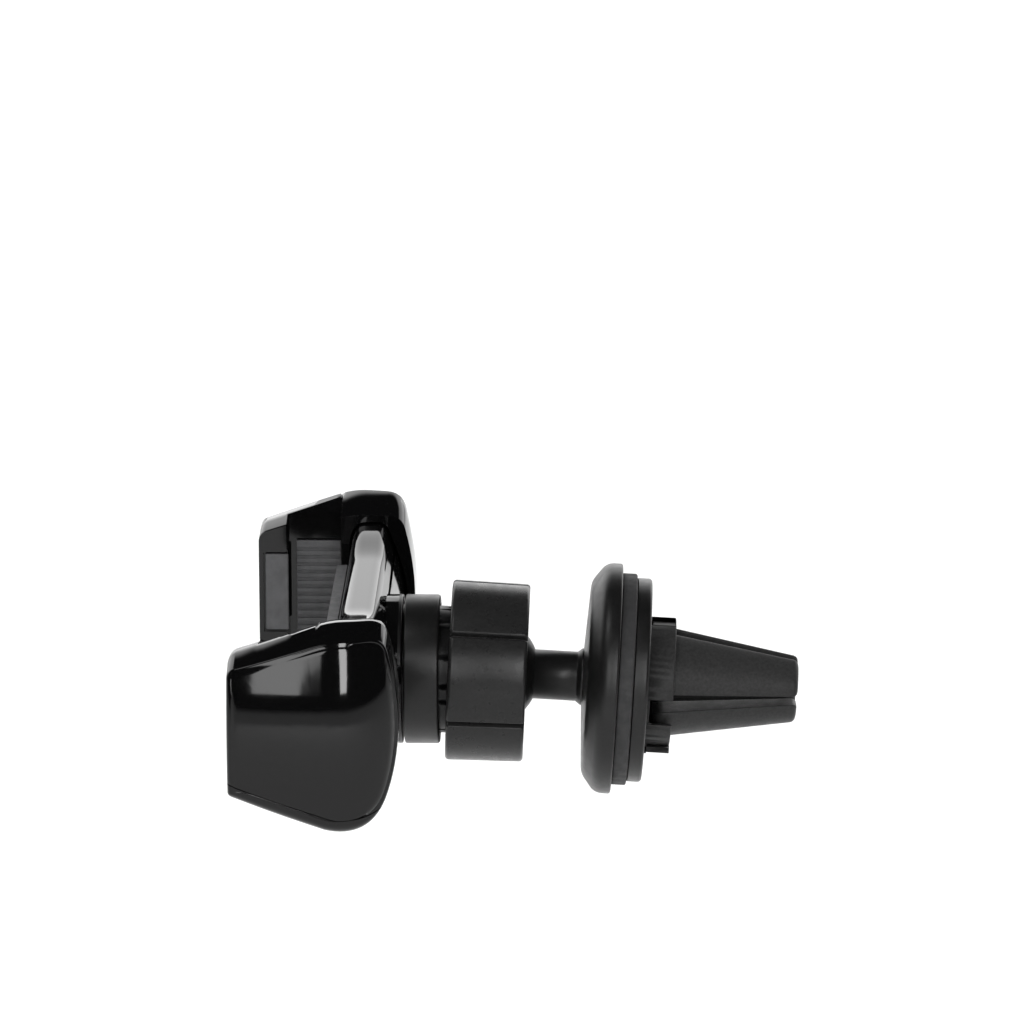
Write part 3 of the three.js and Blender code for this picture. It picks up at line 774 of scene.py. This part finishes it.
def build_socket():
    """The neck behind the nut: a slotted cup round the ball, with room behind it for the seat."""
    step = -6.4
    profile = [
        (-12.6, AXIS, 0), (-12.6, NECK_RADIUS, 0), (-5.2, NECK_RADIUS, 0), (-4.6, THREAD_RADIUS, 0),
        (2.2, THREAD_RADIUS, 0.2), (2.2, CUP_RADIUS, 0.1), (0.2, CUP_RADIUS, 0),
    ]
    cup_end = math.degrees(math.acos(step / CUP_RADIUS))
    seat_start = math.degrees(math.acos(step / SEAT_RADIUS))
    profile += arc(CUP_RADIUS, 92, cup_end, 16)
    profile += arc(SEAT_RADIUS, seat_start, 153.5, 8)
    profile += [(-11.5, 4.5, 0), (-11.5, AXIS, 0)]
    cup_piece = turned("socket", profile, SOCKET, 96)
    for turn in (0, 90):
        slot = block((-4.5, -15, -CUP_SLOT / 2), (4, 15, CUP_SLOT / 2))
        slot.data.transform(Matrix.Rotation(math.radians(turn), 4, "X"))
        place = SOCKET.copy()
        place.translation *= MM
        slot.data.transform(place)
        cut(cup_piece, slot)
    return cup_piece


# ---- Turned parts round the ball ----

def build_collar():
    start, end = COLLAR
    profile = [
        (start, COLLAR_BORE, 0), (start, BOSS_RADIUS, 0.25),
        (end, BOSS_RADIUS, 0.4), (end, COLLAR_BORE, 0.1),
    ]
    piece = turned("collar", profile, HERE)
    finish_piece(piece, "holder", "satin_black", "collar_ring")


def nut_reach(x, radius, angle):
    """The nut's outside: gently crowned lobes between narrow grooves."""
    if radius < NUT_BORE + 1.1:
        return radius
    lobe = 2 * math.pi / NUT_LOBES
    along = ((angle - NUT_TURN) / lobe) % 1.0
    from_groove = min(along, 1 - along) * lobe * NUT_RADIUS
    half_width, depth = NUT_GROOVE
    share = min(1.0, from_groove / half_width)
    groove = depth * (1 - share * share * (3 - 2 * share))
    crown = NUT_CROWN * (2 * along - 1) ** 2
    return radius - groove - crown


def nut_spacing(angle):
    """Gathers the segments towards the grooves."""
    lobe = 2 * math.pi / NUT_LOBES
    whole, along = divmod(angle / lobe, 1.0)
    along -= 0.9 * math.sin(2 * math.pi * along) / (2 * math.pi)
    return (whole + along) * lobe + NUT_TURN


def build_nut():
    start, end = NUT_ENDS
    lip, taper = end - 1.7, 0.22
    profile = [
        (start, NUT_BORE, 0.2), (start, NUT_RADIUS, 0.55), (end, NUT_RADIUS - taper, 0.55),
        (end, NUT_MOUTH, 0.3), (lip + 0.6, 6.75, 0.2), (lip, 6.75, 0), (lip, NUT_BORE, 0),
    ]
    piece = turned("lock_nut", profile, SOCKET, segments=360, reach=nut_reach, spacing=nut_spacing)
    finish_piece(piece, "nut", "satin_black", "clamp_nut", look="nut_black")


def arc(radius, start, end, steps):
    """(x, radius) points round the ball's centre, from one angle off +X to another, in degrees."""
    points = []
    for k in range(steps + 1):
        angle = math.radians(start + (end - start) * k / steps)
        points.append((radius * math.cos(angle), max(AXIS, radius * math.sin(angle)), 0))
    return points


def build_stud():
    neck = math.degrees(math.asin(STEM_RADIUS / BALL_RADIUS))
    shoulder = STEM_RADIUS + 0.55
    foot_start, foot_end, foot = 17.1, 18.7, 7.5
    profile = arc(BALL_RADIUS, 180, neck, 40)
    profile += [
        (14.0, STEM_RADIUS, 0.3), (14.7, shoulder, 0.3), (foot_start, shoulder, 0),
        (foot_start, foot, 0.2), (foot_end, foot, 0.2), (foot_end, SCREW_HOLE, 0),
        (13.5, SCREW_HOLE, 0), (13.5, AXIS, 0),
    ]
    piece = turned("ball_and_stem", profile, VENT, 96)
    finish_piece(piece, "vent_side", "satin_black", "ball_stud")


def build_cap():
    """A domed cap, hollow towards the vent, with a hole for the stem."""
    hole = 4.5
    profile = [
        (14.9, hole, 0.15), (15.45, 14.4, 3.0), (17.6, CAP_RADIUS, 2.2), (CAP_END, CAP_RADIUS, 0.35),
        (CAP_END, 15.7, 0.2), (18.0, 15.7, 0.3), (17.1, 14.0, 1.0), (16.4, hole, 0.1),
    ]
    piece = turned("cap", profile, VENT)
    finish_piece(piece, "vent_side", "satin_black", "dome_cap")


def build_seal():
    start, end = SEAL_ENDS
    bore = 8.0
    profile = [(start, bore, 0), (start, SEAL_RADIUS, 0.2), (end, SEAL_RADIUS, 0.3), (end, bore, 0)]
    finish_piece(turned("seal", profile, VENT), "vent_side", "seal_rubber", "seal_ring")


def build_plate():
    start, end = PLATE_ENDS
    profile = [
        (start, SCREW_HOLE, 0), (start, PLATE_RADIUS, 0.2),
        (end, PLATE_RADIUS, 0.5), (end, SCREW_HOLE, 0),
    ]
    finish_piece(turned("back_plate", profile, VENT), "vent_side", "satin_black", "base_plate")


# ---- Clip ----

def local_block(low, high):
    """A box in the vent side's own frame."""
    piece = block(low, high)
    place = VENT.copy()
    place.translation *= MM
    piece.data.transform(place)
    return piece


def build_clip_base():
    """A sleeve round the fingers' roots, in two parts, with a slotted tab above and a foot below."""
    start, end = CLIP_ENDS
    inner, outer = SLEEVE_RADII
    web = 0.5
    profile = [(start, inner, 0), (start, outer, 0), (end, outer, 0.2), (end, inner, 0)]
    piece = turned("clip_sleeve", profile, VENT, 120)
    cut(piece, local_block((start - 1, -20, -4.3), (end + 1, 20, -0.2)))
    disc = outer - 0.2
    profile = [
        (start, SCREW_HOLE, 0), (start, disc, 0), (start + web, disc, 0.1), (start + web, SCREW_HOLE, 0),
    ]
    combine(piece, turned("flange", profile, VENT, 120), "UNION")
    tab = ((start, -2.4, 9.2), (end, 2.4, 10.2))
    foot = ((start, -4.6, -9.8), (end, 4.6, -8.95))
    foot_web = ((start, -4.6, -10.0), (start + web, 4.6, -6.0))
    for low, high in (tab, foot, foot_web):
        combine(piece, local_block(low, high), "UNION")
    cut(piece, local_block((start + 0.8, -0.5, 9.8), (end + 1, 0.5, 12)))
    soften(piece, 0.18, 2, 38)
    apply_modifiers(piece)
    finish_piece(piece, "vent_side", "textured_black", "clip_base")


def finger_section(radius, gap, flat, sign, side, corner):
    """A quarter disc beside the upright slot, rounded at its three corners."""
    top = math.sqrt(max(0.01, radius ** 2 - gap ** 2))
    reach = math.sqrt(max(0.01, radius ** 2 - flat ** 2))
    raw = [(gap, flat, corner)]
    start = math.atan2(flat, reach)
    end = math.atan2(top, gap)
    steps = 14
    for k in range(steps + 1):
        angle = start + (end - start) * k / steps
        sharp = corner if k in (0, steps) else 0
        raw.append((radius * math.cos(angle), radius * math.sin(angle), sharp))
    return [(side * y, sign * z) for y, z in rounded(raw, 3)]


def build_finger(name, body, up, side):
    start, end = FINGER_LENGTH
    root, tip = FINGER_RADIUS
    stations = [start + (end - start - FINGER_TIP) * k / 10 for k in range(11)]
    stations += [end - FINGER_TIP * (1 - math.sin(math.radians(a))) for a in (30, 60, 90)]
    rings = []
    for x in stations:
        along = (x - start) / (end - start)
        radius = root + (tip - root) * along
        past = max(0.0, x - (end - FINGER_TIP)) / FINGER_TIP
        inset = FINGER_TIP * (1 - math.sqrt(max(0.0, 1 - past ** 2)))
        gap = 1.5 - 0.5 * along + inset
        flat = (0.15 if up else 2.7 - 1.7 * along) + inset
        section = finger_section(radius - inset, gap, flat, 1 if up else -1, side, FINGER_CORNER)
        rings.append([(x, y, z) for y, z in section])
    points, faces = skin(rings)
    piece = mesh_piece(f"{name}_prong", points, faces, VENT)
    even = piece.modifiers.new("normals", "WEIGHTED_NORMAL")
    even.weight = 80
    apply_modifiers(piece)
    finish_piece(piece, body, "textured_black", f"{name}_finger")


# ---- Stage ----

def emitter(name, location, target, size, brightness, in_gloss=True):
    """A rectangular lamp whose power gives the wanted surface brightness."""
    light = bpy.data.lights.new(name, "AREA")
    light.shape = "RECTANGLE"
    light.size, light.size_y = size
    light.energy = brightness * math.pi * size[0] * size[1]
    lamp = bpy.data.objects.new(name, light)
    lamp.location = location
    aim = Vector(target) - Vector(location)
    lamp.rotation_euler = aim.to_track_quat("-Z", "Y").to_euler()
    lamp.visible_glossy = in_gloss
    bpy.context.scene.collection.objects.link(lamp)


def build_floor():
    turns = ((-1, -1), (1, -1), (1, 1), (-1, 1))
    corners = [(x * FLOOR_HALF, y * FLOOR_HALF, FLOOR_HEIGHT) for x, y in turns]
    mesh = bpy.data.meshes.new("floor")
    mesh.from_pydata(corners, [], [(0, 1, 2, 3)])
    floor = bpy.data.objects.new("floor", mesh)
    bpy.context.scene.collection.objects.link(floor)
    made, shader = material("floor", (0.9, 0.9, 0.9), 0.9)
    shader.inputs["Specular IOR Level"].default_value = 0.0
    mesh.materials.append(made)


def build_world():
    """Dark overhead and behind the camera, pale low down on the far side."""
    world = bpy.data.worlds.new("studio")
    bpy.context.scene.world = world
    world.use_nodes = True
    nodes, links = world.node_tree.nodes, world.node_tree.links
    place = nodes.new("ShaderNodeTexCoord")
    split = nodes.new("ShaderNodeSeparateXYZ")
    links.new(place.outputs["Generated"], split.inputs["Vector"])

    def ramp(source, low, high, to_low, to_high):
        mapped = nodes.new("ShaderNodeMapRange")
        mapped.interpolation_type = "SMOOTHSTEP"
        mapped.inputs["From Min"].default_value = low
        mapped.inputs["From Max"].default_value = high
        mapped.inputs["To Min"].default_value = to_low
        mapped.inputs["To Max"].default_value = to_high
        links.new(source, mapped.inputs["Value"])
        return mapped.outputs["Result"]

    far_side = ramp(split.outputs["Y"], -0.05, 0.5, 0.0, 1.0)
    low_down = ramp(split.outputs["Z"], 0.46, 0.64, 1.0, 0.0)
    both = nodes.new("ShaderNodeMath")
    both.operation = "MULTIPLY"
    links.new(far_side, both.inputs[0])
    links.new(low_down, both.inputs[1])
    glow = ramp(both.outputs["Value"], 0.0, 1.0, 0.012, 2.1)
    links.new(glow, nodes["Background"].inputs["Strength"])
    nodes["Background"].inputs["Color"].default_value = (1, 1, 1, 1)


def around(azimuth, elevation):
    """A lamp's place seen from the object: azimuth in degrees from -Y towards +X."""
    a, e = math.radians(azimuth), math.radians(elevation)
    level = LAMP_DISTANCE * math.cos(e)
    return (level * math.sin(a), -level * math.cos(a), LAMP_DISTANCE * math.sin(e))


def build_lights():
    middle = (0.0, 0.0, 0.01)
    emitter("sky", (0.0, 0.0, 3.0), (0.0, 0.01, 0.0), (12.0, 12.0), 1.08, in_gloss=False)
    emitter("softbox", around(-9.7, 22), middle, (0.3, 0.74), 8.0)
    emitter("strip", around(17.3, 22), middle, (0.15, 0.74), 20.0)
    emitter("overhead", around(-57, 62), middle, (0.5, 0.5), 4.5)


def build_camera():
    lens = bpy.data.cameras.new("camera")
    lens.lens = 189.14
    lens.sensor_width = 36.0
    lens.clip_start = 0.05
    lens.clip_end = 100.0
    camera = bpy.data.objects.new("camera", lens)
    camera.location = (0.040794, -0.773603, 0.226217)
    look = Vector((-0.01686, 0.96745, -0.25251))
    camera.rotation_euler = look.to_track_quat("-Z", "Y").to_euler()
    bpy.context.scene.collection.objects.link(camera)
    bpy.context.scene.camera = camera


# ---- Assembly ----

dress_frame()
build_arm("left", 1)
build_arm("right", -1)
build_front_shell()
build_back_cover()
build_collar()
build_nut()
build_stud()
build_cap()
build_seal()
build_plate()
build_clip_base()
for level, up in (("upper", True), ("lower", False)):
    for hand, side in (("right", -1), ("left", 1)):
        build_finger(f"{level}_{hand}", f"{level}_fingers", up, side)

build_floor()
build_world()
build_lights()
build_camera()
bpy.context.scene.view_settings.view_transform = "Standard"
